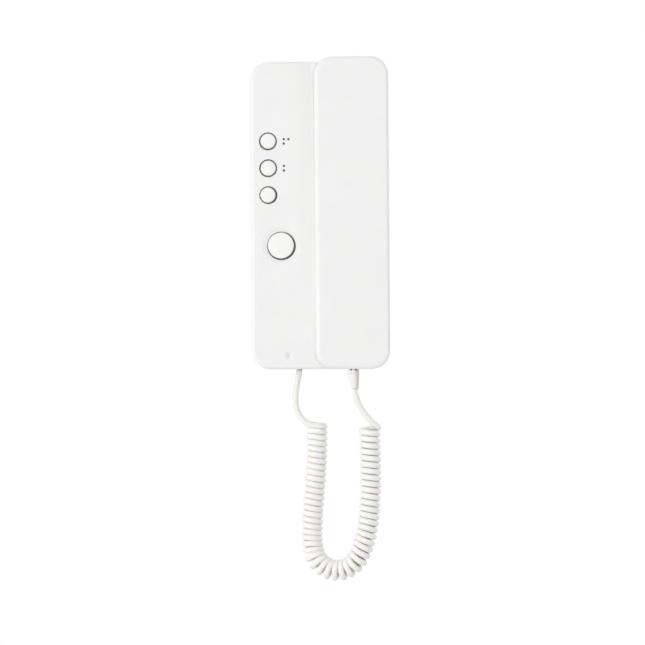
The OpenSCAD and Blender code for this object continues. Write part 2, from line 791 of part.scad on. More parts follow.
module hook_microswitch()
    color("black") {
        block(microswitch_box[0], microswitch_box[1], microswitch_box[2], microswitch_box[3],
            board_top, microswitch_d);
        block(microswitch_button[0], microswitch_button[1], microswitch_button[2], microswitch_button[3],
            microswitch_d - fuse, microswitch_button_d);
    }

module base_jack()
    color("black")
    difference() {
        block(base_exit[0] - base_jack_half, base_exit[0] + base_jack_half, tongue_z, base_jack_top_z,
            board_top, base_jack_d);
        block(base_exit[0] - base_socket[0], base_exit[0] + base_socket[0], tongue_z - cut,
            base_socket[1], base_socket[2], base_socket[3]);
    }

module base_plug()
    color("azure")
    difference() {
        block(base_exit[0] - base_plug_half, base_exit[0] + base_plug_half, base_exit[1], base_plug_top_z,
            base_plug_d[0], base_plug_d[1]);
        for (i = [-1.5 : 1.5])
            block(base_exit[0] + contact_pitch * i - contact_w / 2,
                base_exit[0] + contact_pitch * i + contact_w / 2, contact_z, base_plug_top_z + cut,
                base_plug_d[0] - cut, base_plug_d[0] + contact_t);
    }

module indicator_led()
    color("lightgreen")
    turned(lamp_at[0], lamp_at[1], concat(
        [[0, board_top], [led_foot[0], board_top], [led_foot[0], board_top + led_foot[1]],
            [led_r, board_top + led_foot[1]]],
        arc(0, led_dome_d, led_r, 0, 90)));

module light_pipe()
    color("white")
    turned(lamp_at[0], lamp_at[1], [
        [0, pipe_back_d], [pipe_r, pipe_back_d], [pipe_r, panel_under - pipe_flange[1]],
        [pipe_flange[0], panel_under - pipe_flange[1]], [pipe_flange[0], panel_under],
        [lamp_r, panel_under], [lamp_r, panel_d - lamp_sunk], [0, panel_d - lamp_sunk]
    ]);

// Base: hook switch
module cross_rod(x0, x1, r)
    translate([x0, -hook_pivot[1], hook_pivot[0]])
    rotate([0, 90, 0])
    cylinder(h = x1 - x0, r = r);

module hook_pivot_pin()
    color("silver")
    cross_rod(hub_x[0] - hub_gap - cheek_t, hub_x[1] + hub_gap + cheek_t, pin_r);

module hook_lever()
    color("white")
    difference() {
        union() {
            cross_rod(hub_x[0], hub_x[1], hub_r);
            block(handset_mid_x - tongue_w / 2, handset_mid_x + tongue_w / 2, hook_pivot[0],
                tongue_root[2], arm_d[0], arm_d[1]);
            hook_tongue();
            block(foot_x, handset_mid_x, foot_z[0], foot_z[1], foot_d[0], foot_d[1]);
        }
        cross_rod(hub_x[0] - cut, hub_x[1] + cut, pin_r + pin_fit[1]);
    }

// The nose that the handset presses: a blade with a round tip
module hook_tongue()
    translate([handset_mid_x - tongue_w / 2, 0, 0])
    rotate([90, 0, 90])
    linear_extrude(tongue_w)
    polygon(concat(
        [[-tongue_root[0], tongue_root[2]], [-tongue_root[0], tongue_root[1]]],
        arc(-tongue_tip[0], tongue_tip_z[0], tongue_tip[1], 270, 180),
        arc(-tongue_tip[0], tongue_tip_z[1], tongue_tip[1], 180, 90)));

module hook_spring() {
    n = spring_turns * rings_per_curl;
    run = spring_d[1] - spring_d[0] - 2 * spring_wire;
    points = [for (i = [0 : n]) let (a = 360 * i / rings_per_curl) [
        handset_mid_x + spring_r * cos(a),
        -spring_d[0] - spring_wire - run * i / n,
        spring_z + spring_r * sin(a)
    ]];
    color("silver")
        tube(points, [for (i = [0 : n]) heading(points, i)], [for (i = [0 : n]) -front],
            spring_wire / 2, curl_sides);
}

module cover_screw()
    color("silver")
    translate([cover_screw_at[0], -cover_screw_at[1], cover_head_z])
    difference() {
        rotate_extrude()
            polygon([
                [0, 0], [cover_head_r - cover_head_taper[0], 0], [cover_head_r, cover_head_taper[1]],
                [cover_head_r, cover_head_t], [cover_screw_r, cover_head_t],
                [cover_screw_r, cover_screw_len - cover_tip], [0, cover_screw_len]
            ]);
        for (a = [0, 90])
            rotate(a)
            translate([-cross_slot[0] / 2, -cross_slot[1] / 2, -cut])
            cube([cross_slot[0], cross_slot[1], 2 * cut]);
    }

// Keys: each is a cap with a round edge, a collar behind the panel and a stem on its switch
function key_profile(r, stem, top) = concat(
    [[0, plunger_d], [stem, plunger_d], [stem, key_collar_d[0]], [r + key_collar, key_collar_d[0]],
        [r + key_collar, key_collar_d[1]], [r, key_collar_d[1]]],
    arc(r - key_edge, top - key_edge - key_crown, key_edge, 0, 80),
    [[0, top]]);

module small_key(i)
    color("white")
    turned(key_places[i][0] + key_off[i][0], key_places[i][1] + key_off[i][1],
        key_profile(key_d / 2, key_stem_r, panel_d + key_proud[i]));

module upper_key() small_key(0);
module middle_key() small_key(1);
module lower_key() small_key(2);
module door_key()
    color("white")
    turned(door_place[0] + key_off[3][0], door_place[1] + key_off[3][1],
        key_profile(door_key_d / 2, door_stem_r, panel_d + door_proud));

module key_plunger(i)
    color("gold")
    rod(all_key_places[i][0], all_key_places[i][1], switch_well_d + key_travel + lamp_gap, plunger_d,
        plunger_r);

module upper_plunger() key_plunger(0);
module middle_plunger() key_plunger(1);
module lower_plunger() key_plunger(2);
module door_plunger() key_plunger(3);

// Handset: the front shell, whose lip overhangs the panel's valley
module handset_front_shell()
    color("white")
    difference() {
        union() {
            soft_box(handset_x[0], handset_x[1], handset_z[0], handset_z[1], split_d, handset_front_d,
                handset_corner, grip_edge, handset_edge);
            handset_lip();
        }
        difference() {
            soft_box(handset_x[0] + shell_t, handset_x[1] - shell_t, handset_z[0] + shell_t,
                handset_z[1] - shell_t, split_d - cut, handset_front_d - shell_t,
                handset_corner - shell_t, inner_edge, inner_edge);
            block(handset_x[0], ledge_x, handset_z[0], handset_z[1], split_d - 2 * cut, split_d + ledge_t);
            for (z = handset_screw_z)
                rod(handset_mid_x, z, split_d + lamp_gap, handset_front_d, pillar_r[0]);
        }
        for (z = handset_screw_z)
            rod(handset_mid_x, z, split_d - cut, split_d + handset_screw_tip + cut,
                handset_screw_r + pin_fit[1]);
        plug_opening();
    }

// The lip's edge comes down to just above the valley, and follows the handset's upper corner
function lip_depth(z) = panel_d - valley_share(z) * valley_drop(handset_x[0] - valley_x) + lip_gap;

module handset_lip()
    intersection() {
        plate(cradle_d, split_d + fuse)
            polygon(concat(
                [[lip_x[1], lip_z], [lip_x[0], lip_z]],
                arc(handset_x[0] + handset_corner, handset_z[1] - handset_corner,
                    handset_x[0] + handset_corner - lip_x[0], 180, lip_turn)));
        translate([handset_x[0] - cut, 0, 0])
            rotate([90, 0, 90])
            linear_extrude(handset_corner)
            polygon(concat(
                [[-split_d - cut, valley_z[valley_rows]], [-split_d - cut, valley_z[0]]],
                [for (z = valley_z) [-lip_depth(z), z]]));
    }

module plug_opening()
    block(plug_x - plug_half[0] - tab_gap, plug_x + plug_half[0] + tab_gap, handset_z[0] - cut,
        handset_z[0] + shell_t + fuse, plug_d - plug_half[1] - tab_gap, plug_d + plug_half[1] + tab_gap);

// Handset: the rear shell, arched between the ear and mouth pieces that sit in the base's wells
module back_arch_form()
    translate([-far / 2, 0, 0])
    rotate([90, 0, 90])
    linear_extrude(far)
    polygon(concat(
        [[cut - handset_back_d, arch_half], [cut - handset_back_d, -arch_half]],
        [for (i = [-1 : 2 / arch_steps : 1]) [-handset_back_d - back_arch * (1 - i * i), i * arch_half]]));

module sound_holes(z, r, rings, d0)
    for (ring = [0 : rings], i = [0 : max(0, 6 * ring - 1)])
        let (a = ring == 0 ? 0 : 60 * i / ring)
        rod(handset_mid_x + sound_pitch * ring * cos(a), z + sound_pitch * ring * sin(a),
            d0 - cut, d0 + face_t + cut, r);

// A round boss that stands from the handset's back, with a rounded rim and a dished face
module boss(z, r, face_d)
    turned(handset_mid_x, z, concat(
        [[0, face_d + boss_dish], [r * 0.6, face_d + boss_dish / 3], [r - boss_edge, face_d]],
        arc(r - boss_edge, face_d + boss_edge, boss_edge, -90, 0, arc_steps),
        [[r, handset_back_d + shell_t + boss_back], [0, handset_back_d + shell_t + boss_back]]));

module handset_rear_shell()
    color("white")
    difference() {
        union() {
            difference() {
                soft_box(rear_x, handset_x[1] - seam, handset_z[0] + seam, handset_z[1] - seam,
                    handset_back_d, split_d, rear_corner, 0, 0, handset_edge);
                soft_box(rear_x + shell_t, handset_x[1] - seam - shell_t, handset_z[0] + seam + shell_t,
                    handset_z[1] - seam - shell_t, handset_back_d + back_arch + shell_t, split_d + cut,
                    rear_corner - shell_t, 0, 0, inner_edge);
                back_arch_form();
            }
            boss(ear_z, ear_r, ear_face_d);
            boss(mouth_z, mouth_r, mouth_face_d);
            for (z = handset_screw_z)
                rod(handset_mid_x, z, handset_back_d + pillar_back, split_d, pillar_r[1]);
        }
        rod(handset_mid_x, ear_z, ear_face_d + face_t, split_d + cut, ear_seat_r);
        rod(handset_mid_x, mouth_z, mouth_face_d + face_t, split_d + cut, mouth_seat_r);
        sound_holes(ear_z, ear_hole_r, 2, ear_face_d);
        sound_holes(mouth_z, mouth_hole_r, 1, mouth_face_d);
        for (z = handset_screw_z) {
            rod(handset_mid_x, z, handset_back_d - cut, split_d - pillar_floor_t, pillar_head_r);
            rod(handset_mid_x, z, handset_back_d - cut, split_d + cut, handset_screw_r + fuse);
        }
        plug_opening();
    }

module receiver_capsule()
    color("slategray")
    turned(handset_mid_x, ear_z, [
        [0, ear_face_d + receiver_cone[2]], [receiver_cone[0], ear_face_d + receiver_cone[3]],
        [receiver_cone[1], receiver_d[0]], [receiver_r, receiver_d[0]], [receiver_r, receiver_d[1]],
        [receiver_magnet_r, receiver_d[2]], [receiver_magnet_r, receiver_d[3]], [0, receiver_d[3]]
    ]);

module receiver_gasket()
    color("dimgray")
    turned(handset_mid_x, ear_z, [
        [gasket_r, ear_face_d + face_t], [receiver_r, ear_face_d + face_t], [receiver_r, receiver_d[0]],
        [gasket_r, receiver_d[0]]
    ]);

module microphone_capsule()
    color("silver")
    turned(handset_mid_x, mouth_z, [
        [0, microphone_d[0]], [microphone_r, microphone_d[0]], [microphone_r, microphone_d[1] - inner_edge],
        [microphone_r - inner_edge, microphone_d[1]], [0, microphone_d[1]]
    ]);

module microphone_boot()
    color("dimgray")
    turned(handset_mid_x, mouth_z, [
        [microphone_r + boot_gap, boot_d[0]], [boot_r[0], boot_d[0]], [boot_r[0], boot_d[1]],
        [boot_r[1], boot_d[2]], [boot_r[1], boot_d[3]], [microphone_r + boot_gap, boot_d[3]]
    ]);

module handset_jack()
    color("black")
    difference() {
        block(plug_x - jack_half_w, plug_x + jack_half_w, handset_z[0] + jack_in[0],
            handset_z[0] + jack_in[1], plug_d - plug_half[1] - socket_gap - socket_t,
            plug_d + plug_half[1] + socket_gap + socket_t);
        block(plug_x - plug_half[0] - socket_gap, plug_x + plug_half[0] + socket_gap, handset_z[0],
            handset_z[0] + plug_in + socket_gap, plug_d - plug_half[1] - socket_gap,
            plug_d + plug_half[1] + socket_gap);
    }

// The plug: a square body with a latch between two slots, and a tail that tapers on one side to the cord
module handset_plug()
    color("azure")
    difference() {
        union() {
            block(plug_x - plug_half[0], plug_x + plug_half[0], handset_z[0] - plug_neck,
                handset_z[0] + plug_in, plug_d - plug_half[1], plug_d + plug_half[1]);
            translate([0, -(plug_d - plug_tail_half), 0])
                rotate([90, 0, 0])
                linear_extrude(2 * plug_tail_half)
                polygon([
                    [plug_x - plug_half[0], handset_z[0] - plug_neck + fuse],
                    [plug_x - plug_half[0], handset_z[0] - plug_neck],
                    [plug_x + plug_tail[0], plug_end_z], [plug_x + plug_tail[1], plug_end_z],
                    [plug_x + plug_half[0], handset_z[0] - plug_neck],
                    [plug_x + plug_half[0], handset_z[0] - plug_neck + fuse]
                ]);
        }
        for (x = latch_slots)
            block(plug_x + x - latch_slot_w / 2, plug_x + x + latch_slot_w / 2,
                handset_z[0] + latch_slot_z, handset_z[0] + plug_in + cut,
                plug_d + plug_half[1] - latch_slot_t, plug_d + plug_half[1] + cut);
        translate([plug_x + plug_half[0], -plug_d - plug_half[1], plug_end_z - cut])
            rotate(45)
            translate([-plug_bevel, -plug_bevel, 0])
            cube([2 * plug_bevel, 2 * plug_bevel, handset_z[0] - plug_end_z]);
    }

module handset_screws()
    color("silver")
    for (z = handset_screw_z)
        let (seat_d = split_d - pillar_floor_t)
        turned(handset_mid_x, z, [
            [0, seat_d - handset_head[1]], [handset_head[0] - lamp_gap, seat_d - handset_head[1]],
            [handset_head[0], seat_d - handset_head[1] + fuse], [handset_head[0], seat_d],
            [handset_screw_r, seat_d], [handset_screw_r, split_d + handset_screw_tip - cut],
            [0, split_d + handset_screw_tip]
        ]);

module wire(points, last)
    plain_tube(smooth([for (p = points) lay(p)], tail_steps), front, last, [1, 0.2, 0], wire_r, tail_sides);

module receiver_wires()
    color("firebrick")
    for (x = [-receiver_pin, receiver_pin])
        wire([
            [handset_mid_x + x, receiver_d[3], ear_z - receiver_pin_z],
            [handset_mid_x + x, receiver_d[3] + wire_rise, ear_z - receiver_pin_z],
            [wire_x + x / 2, receiver_wire_d - wire_r, ear_z - receiver_r],
            [wire_x + x / 2, receiver_wire_d, 0], [wire_x + x / 2, receiver_wire_d, mouth_z / 2],
            [plug_x + x / 2, receiver_wire_d, mouth_z], [plug_x + x / 2, receiver_wire_d, jack_top_z]
        ], down);

module microphone_wires()
    color("navy")
    for (x = [-microphone_pin, microphone_pin])
        wire([
            [handset_mid_x + x, microphone_d[1], mouth_z],
            [handset_mid_x + x, microphone_d[1] + wire_rise, mouth_z],
            [plug_x + x, microphone_wire_d - wire_r, mouth_z - microphone_r],
            [plug_x + x, microphone_wire_d, jack_top_z + wire_rise / 2],
            [plug_x + x, microphone_wire_d, jack_top_z]
        ], down);

// Cord: a plain tail at each plug and the curls between them
module cord_tail_base()
    color("white")
    plain_tube(base_tail, down, first_heading, front, cord_d / 2, tail_sides);

module cord_curls()
    color("white")
    tube(curl_points, curl_headings, curl_hints, cord_d / 2, curl_sides);

module cord_tail_handset()
    color("white")
    plain_tube(handset_tail, down, -last_heading, front + [0.2, 0, 0], cord_d / 2, tail_sides);

wall_plate();
front_cover();
circuit_board();
board_screws();
board_components();
terminal_block();
terminal_screws();
key_switches();
call_speaker();
hook_microswitch();
base_jack();
base_plug();
indicator_led();
light_pipe();
hook_pivot_pin();
hook_spring();
hook_lever();
cover_screw();
upper_key();
middle_key();
lower_key();
door_key();
upper_plunger();
middle_plunger();
lower_plunger();
door_plunger();
handset_front_shell();
handset_rear_shell();
receiver_capsule();
receiver_gasket();
microphone_capsule();
microphone_boot();
handset_jack();
handset_plug();
handset_screws();
receiver_wires();
microphone_wires();
cord_tail_base();
cord_curls();
cord_tail_handset();
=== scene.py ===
"""Looks of a wall intercom station: base with keys, handset in its cradle and a curly cord."""
import json
import math

import bpy
import bmesh
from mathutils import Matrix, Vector


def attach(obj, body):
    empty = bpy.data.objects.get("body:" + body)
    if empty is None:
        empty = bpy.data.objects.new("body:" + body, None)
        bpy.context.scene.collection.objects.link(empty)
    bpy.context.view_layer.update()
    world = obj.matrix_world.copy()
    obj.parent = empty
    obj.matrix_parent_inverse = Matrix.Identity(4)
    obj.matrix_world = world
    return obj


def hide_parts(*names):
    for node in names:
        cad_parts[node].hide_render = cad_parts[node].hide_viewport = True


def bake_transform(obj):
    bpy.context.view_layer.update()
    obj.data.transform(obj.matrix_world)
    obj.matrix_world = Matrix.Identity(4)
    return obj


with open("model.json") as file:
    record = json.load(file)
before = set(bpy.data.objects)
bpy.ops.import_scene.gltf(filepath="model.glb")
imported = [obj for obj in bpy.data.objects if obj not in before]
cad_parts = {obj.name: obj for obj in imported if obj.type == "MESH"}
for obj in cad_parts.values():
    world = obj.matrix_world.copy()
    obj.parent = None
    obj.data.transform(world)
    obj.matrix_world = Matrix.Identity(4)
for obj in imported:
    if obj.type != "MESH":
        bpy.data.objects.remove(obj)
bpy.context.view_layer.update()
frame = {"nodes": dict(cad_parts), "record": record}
nodes = frame["nodes"]
scene = bpy.context.scene
scene.view_settings.view_transform = "Standard"

MM = 0.001


def add_mesh(name, bm):
    """A new object in the scene from a finished bmesh."""
    mesh = bpy.data.meshes.new(name)
    bm.to_mesh(mesh)
    bm.free()
    obj = bpy.data.objects.new(name, mesh)
    scene.collection.objects.link(obj)
    return obj


# Camera
# It looks straight at the station: aim in millimetres, distance in metres and roll in degrees
CAMERA_AIM = (1.15, -40, -70.3)
CAMERA_DISTANCE = 2.2
CAMERA_LENS = 188
CAMERA_ROLL = -0.42


def add_camera():
    data = bpy.data.cameras.new("camera")
    data.lens = CAMERA_LENS
    data.sensor_width = 36
    data.sensor_fit = "HORIZONTAL"
    data.clip_start = 0.01
    data.clip_end = 50
    cam = bpy.data.objects.new("camera", data)
    cam.location = Vector(CAMERA_AIM) * MM + CAMERA_DISTANCE * Vector((0, -1, 0))
    cam.rotation_euler = (math.radians(90), 0, 0)
    cam.rotation_euler.rotate_axis("Z", math.radians(CAMERA_ROLL))
    scene.collection.objects.link(cam)
    scene.camera = cam


add_camera()


# Curly cord, in millimetres
# The routes of part.scad as X, depth and Z. The legs and the bend between them run from the base to
# the handset, and each tail runs from its plug to the curls.
BASE_LEG = [
    (-3, 13, -138), (-3.1, 13, -148), (-3.5, 13, -161), (-4.4, 13, -174.5), (-5.5, 13, -187.5),
    (-6.4, 13, -199.5), (-6.8, 13.2, -209.5), (-6.6, 13.8, -216.4),
]
HANDSET_LEG = [
    (25.6, 29.8, -219.8), (28, 30.5, -213), (29.6, 30.8, -205.6), (30.6, 30.8, -198),
    (31.3, 30.8, -189.5), (31.8, 30.8, -180), (31.9, 30.8, -169.5), (31.8, 30.8, -158.5),
    (31.6, 30.8, -149), (31.4, 30.8, -140),
]
BASE_TAIL = [
    (-14.2, 17.5, -97), (-14.2, 17.5, -101), (-15.2, 17.6, -107), (-16.5, 17.7, -114),
    (-17, 17.8, -120.5), (-16.4, 17.9, -126.6), (-14, 18, -132.2), (-10.4, 18.1, -136),
]
HANDSET_TAIL = [
    (22, 34.8, -113.7), (22.1, 34.8, -116.6), (23.4, 34.8, -121), (25.3, 34.8, -125.4),
    (27.8, 34.8, -129.6), (30.8, 34.6, -133.2), (34, 33.9, -136.4), (36.6, 32.4, -138.6),
]
# The bend is an arc: its middle in X and Z, radius, depth at its ends, turn in degrees and points
BEND_MID = (9.4, -218)
BEND_R = 15.5
BEND_DEPTH = (15, 28.4)
BEND_TURN = (18, 150)
BEND_STEPS = 6
CORD_D = 3.9
CURL_R = 5.1
# Pitch of the curls at the base's and the handset's end, and the least pitch along a bend's inside
LEG_PITCH = (3.9, 4.2)
BEND_ROOM = 3.25
# Steps of the route on either side of a point over which its bend is measured
BEND_REACH = 5
# Degrees by which the last curl stops short of a whole turn
END_PHASE = 125
# Straight run between a tail and the curls
CURL_LEAD = 2.8
# Steps between two points of the legs and of a tail, and steps of a straight run
AXIS_STEPS = 12
TAIL_STEPS = 8
LEAD_STEPS = 4
RINGS_PER_CURL = 30
SIDES = 14
# A direction that the cord's start doesn't run along
ASIDE = Vector((0.3, 1, 0.2))
FRONT = Vector((0, -1, 0))


def lay(p):
    """A point of a route, given by X, depth and Z, in the frame."""
    return Vector((p[0], -p[1], p[2]))


def at(points, i):
    """A point of a list, which goes on straight past its ends."""
    if i < 0:
        return 2 * points[0] - points[1]
    if i >= len(points):
        return 2 * points[-1] - points[-2]
    return points[i]


def on_spline(points, u):
    """A point of the smooth curve through all the points, where u counts them."""
    i = min(int(math.floor(u)), len(points) - 2)
    t = u - i
    p0, p1, p2, p3 = (at(points, i + k) for k in (-1, 0, 1, 2))
    return 0.5 * (2 * p1 + (p2 - p0) * t + (2 * p0 - 5 * p1 + 4 * p2 - p3) * t * t
                  + (3 * p1 - p0 - 3 * p2 + p3) * t ** 3)


def smooth(points, steps):
    return [on_spline(points, k / steps) for k in range((len(points) - 1) * steps + 1)]


def heading(points, i):
    return (at(points, i + 1) - at(points, i - 1)).normalized()


def between(pair, f):
    return pair[0] + (pair[1] - pair[0]) * f


def bend_point(f):
    """A point of the bend between the two legs, as X, depth and Z."""
    a = math.radians(between(BEND_TURN, f))
    return (BEND_MID[0] - BEND_R * math.cos(a), between(BEND_DEPTH, f),
            BEND_MID[1] - BEND_R * math.sin(a))


def curl_path():
    """Centre line of the curls, a left-handed helix about the route."""
    bend = [bend_point(i / BEND_STEPS) for i in range(BEND_STEPS + 1)]
    axis = smooth([lay(p) for p in BASE_LEG + bend + HANDSET_LEG], AXIS_STEPS)
    last = len(axis) - 1

    def bend_at(i):
        k = max(BEND_REACH + 1, min(last - BEND_REACH - 1, i))
        ahead, behind = k + BEND_REACH, k - BEND_REACH
        turned = (heading(axis, ahead) - heading(axis, behind)).length
        return turned / (axis[ahead] - axis[behind]).length

    def pitch(i):
        bend_near = max(bend_at(i - BEND_REACH), bend_at(i), bend_at(i + BEND_REACH))
        return max(between(LEG_PITCH, i / last), BEND_ROOM / (1 - CURL_R * bend_near))

    turns = [0.0]
    for i in range(last):
        turns.append(turns[-1] + (axis[i + 1] - axis[i]).length / pitch(i))
    curls = math.floor(turns[-1]) + 1 - END_PHASE / 360
    count = round(curls * RINGS_PER_CURL)
    out = []
    j = 0
    for k in range(count + 1):
        n = k / count * turns[-1]
        while j < last - 1 and turns[j + 1] < n:
            j += 1
        u = j + (n - turns[j]) / (turns[j + 1] - turns[j])
        u = max(0.0, min(float(last), u))
        t = (on_spline(axis, min(u + 0.5, last)) - on_spline(axis, max(u - 0.5, 0))).normalized()
        a = (FRONT - FRONT.dot(t) * t).normalized()
        turn = -2 * math.pi * curls * k / count
        out.append(on_spline(axis, u) + CURL_R * (math.cos(turn) * a + math.sin(turn) * t.cross(a)))
    return out


def cord_path():
    """Centre line of the whole cord in metres, from the base's plug to the handset's."""
    helix = curl_path()
    first = (-3 * helix[0] + 4 * helix[1] - helix[2]).normalized()
    final = (3 * helix[-1] - 4 * helix[-2] + helix[-3]).normalized()
    start = helix[0] - CURL_LEAD * first
    end = helix[-1] + CURL_LEAD * final
    left = smooth([lay(p) for p in BASE_TAIL] + [start, helix[0]], TAIL_STEPS)[:-TAIL_STEPS]
    right = smooth([lay(p) for p in HANDSET_TAIL] + [end, helix[-1]], TAIL_STEPS)[:-TAIL_STEPS]
    lead_in = [start + (helix[0] - start) * (i / LEAD_STEPS) for i in range(LEAD_STEPS)]
    lead_out = [helix[-1] + (end - helix[-1]) * (i / LEAD_STEPS) for i in range(1, LEAD_STEPS)]
    return [p * MM for p in left[:-1] + lead_in + helix + lead_out + right[::-1]]


def tube_mesh(name, path, radius, sides):
    """A closed tube along a path, its rings carried along without twist."""
    bm = bmesh.new()
    rings = []
    t_old = heading(path, 0)
    side = t_old.cross(ASIDE).normalized()
    for i, p in enumerate(path):
        t = heading(path, i)
        side = t_old.rotation_difference(t) @ side
        side = (side - side.dot(t) * t).normalized()
        up = t.cross(side)
        t_old = t
        rings.append([bm.verts.new(p + radius * (math.cos(2 * math.pi * k / sides) * side
                                                 + math.sin(2 * math.pi * k / sides) * up))
                      for k in range(sides)])
    for a, b in zip(rings, rings[1:]):
        for k in range(sides):
            bm.faces.new((a[k], a[(k + 1) % sides], b[(k + 1) % sides], b[k]))
    bm.faces.new(rings[0][::-1])
    bm.faces.new(rings[-1])
    for f in bm.faces:
        f.smooth = True
    return add_mesh(name, bm)


path = cord_path()
cord = tube_mesh("curly_cord", path, CORD_D / 2 * MM, SIDES)
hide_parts("cord_tail_base", "cord_curls", "cord_tail_handset")
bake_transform(cord)


# Printed dots
# Centres in X and Z beside the upper two keys, in millimetres on the panel's front
DOTS = [(-23.4, 50), (-20.3, 50), (-23.4, 47.1), (-23.4, 32.5), (-23.4, 29.5)]
DOT_D = 1.6
DOT_SIDES = 24
PANEL_Y = -33
INK = 0.03


def dot_mesh():
    """Thin discs, half above and half below the panel's front."""
    bm = bmesh.new()
    for x, z in DOTS:
        ring = [Vector((x + DOT_D / 2 * math.cos(a), PANEL_Y - INK, z + DOT_D / 2 * math.sin(a))) * MM
                for a in (2 * math.pi * k / DOT_SIDES for k in range(DOT_SIDES))]
        face = bm.faces.new([bm.verts.new(p) for p in ring])
        sunk = bmesh.ops.extrude_face_region(bm, geom=[face])["geom"]
        verts = [v for v in sunk if isinstance(v, bmesh.types.BMVert)]
        bmesh.ops.translate(bm, vec=(0, 2 * INK * MM, 0), verts=verts)
    bmesh.ops.recalc_face_normals(bm, faces=bm.faces)
    return add_mesh("printed_dots", bm)


dots = dot_mesh()
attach(dots, "base")


# Materials
# Scale of the noise behind a plastic's mottling and its gloss, and the part of the noise that is used
MOTTLE = 60
MOTTLE_SPAN = (0.35, 0.65)
GLOSS = 140
GLOSS_SPAN = (0.3, 0.7)
GRAIN_DEPTH = 0.0001
BEVEL_SAMPLES = 6
# How far red, green and blue light reach into a pale plastic, as shares of the reach
REACH = (1.0, 0.85, 0.7)
# Sockets of a Mix node that mixes colours
MIX_SHARE, MIX_A, MIX_B, MIX_RESULT = 0, 6, 7, 2


def link(tree, a, b):
    tree.links.new(a, b)


def noise(tree, coords, scale, detail):
    n = tree.nodes.new("ShaderNodeTexNoise")
    n.inputs["Scale"].default_value = scale
    n.inputs["Detail"].default_value = detail
    link(tree, coords, n.inputs["Vector"])
    return n.outputs["Fac"]


def ramp(tree, fac, low, high):
    """A colour between low and high."""
    r = tree.nodes.new("ShaderNodeValToRGB")
    for element, place, colour in zip(r.color_ramp.elements, MOTTLE_SPAN, (low, high)):
        element.position = place
        element.color = (*colour, 1)
    link(tree, fac, r.inputs["Fac"])
    return r.outputs["Color"]


def span(tree, fac, low, high):
    """A number between low and high."""
    r = tree.nodes.new("ShaderNodeMapRange")
    r.inputs["From Min"].default_value = GLOSS_SPAN[0]
    r.inputs["From Max"].default_value = GLOSS_SPAN[1]
    r.inputs["To Min"].default_value = low
    r.inputs["To Max"].default_value = high
    link(tree, fac, r.inputs["Value"])
    return r.outputs["Result"]


def plastic(name, colour, vary=0.02, rough=(0.36, 0.46), grain=2600, bump=0.06, edge=0.0, metal=0.0):
    """Moulded plastic, or metal: faint mottling, uneven gloss, a fine grain and softened edges."""
    m = bpy.data.materials.new(name)
    m.use_nodes = True
    tree = m.node_tree
    shader = tree.nodes["Principled BSDF"]
    coords = tree.nodes.new("ShaderNodeTexCoord").outputs["Object"]
    low = tuple(max(0, c * (1 - vary)) for c in colour)
    high = tuple(min(1, c * (1 + vary)) for c in colour)
    link(tree, ramp(tree, noise(tree, coords, MOTTLE, 3), low, high), shader.inputs["Base Color"])
    link(tree, span(tree, noise(tree, coords, GLOSS, 4), *rough), shader.inputs["Roughness"])
    b = tree.nodes.new("ShaderNodeBump")
    b.inputs["Strength"].default_value = bump
    b.inputs["Distance"].default_value = GRAIN_DEPTH
    link(tree, noise(tree, coords, grain, 2), b.inputs["Height"])
    if edge:
        bevel = tree.nodes.new("ShaderNodeBevel")
        bevel.samples = BEVEL_SAMPLES
        bevel.inputs["Radius"].default_value = edge
        link(tree, bevel.outputs["Normal"], b.inputs["Normal"])
    link(tree, b.outputs["Normal"], shader.inputs["Normal"])
    shader.inputs["Metallic"].default_value = metal
    return m


def grade(material, tint, *ramps):
    """Tint a material's colour where all the ramps have risen, each along one axis of the frame."""
    tree = material.node_tree
    socket = tree.nodes["Principled BSDF"].inputs["Base Color"]
    split = tree.nodes.new("ShaderNodeSeparateXYZ")
    link(tree, tree.nodes.new("ShaderNodeTexCoord").outputs["Object"], split.inputs[0])
    share = None
    for axis, start, end in ramps:
        along = tree.nodes.new("ShaderNodeMapRange")
        along.inputs["From Min"].default_value = start * MM
        along.inputs["From Max"].default_value = end * MM
        link(tree, split.outputs[axis], along.inputs["Value"])
        if share:
            link(tree, share, along.inputs["To Max"])
        share = along.outputs["Result"]
    mix = tree.nodes.new("ShaderNodeMix")
    mix.data_type = "RGBA"
    mix.blend_type = "MULTIPLY"
    mix.inputs[MIX_B].default_value = (*tint, 1)
    link(tree, share, mix.inputs[MIX_SHARE])
    link(tree, socket.links[0].from_socket, mix.inputs[MIX_A])
    link(tree, mix.outputs[MIX_RESULT], socket)


def translucent(material, share, reach):
    """Let some light through a pale plastic, the red a little further than the blue."""
    sockets = material.node_tree.nodes["Principled BSDF"].inputs
    sockets["Subsurface Weight"].default_value = share
    sockets["Subsurface Radius"].default_value = REACH
    sockets["Subsurface Scale"].default_value = reach


SHELL = {"colour": (0.845, 0.845, 0.84), "vary": 0.008, "edge": 0.0004}
KEY = {"colour": (0.868, 0.868, 0.86), "vary": 0.008, "rough": (0.3, 0.38), "edge": 0.0004}
white_abs = plastic("white_abs", **SHELL)
# The cover's own copy of the shell plastic carries painted light beside the handset, set below
cover_painted_light = plastic("cover_painted_light", **SHELL)
# The key materials carry painted shade in the gaps round the keys, set below
upper_keys_painted_shade = plastic("upper_keys_painted_shade", **KEY)
lower_key_painted_shade = plastic("lower_key_painted_shade", **KEY)
door_key_painted_shade = plastic("door_key_painted_shade", **KEY)
cord_pvc = plastic("cord_pvc", (0.895, 0.885, 0.855), vary=0.015, rough=(0.38, 0.5), grain=1500,
                   bump=0.08)
plug_abs = plastic("plug_abs", (0.88, 0.875, 0.87), vary=0.01, rough=(0.25, 0.35), edge=0.0003)
print_grey = plastic("print_grey", (0.08, 0.08, 0.085), vary=0.1)
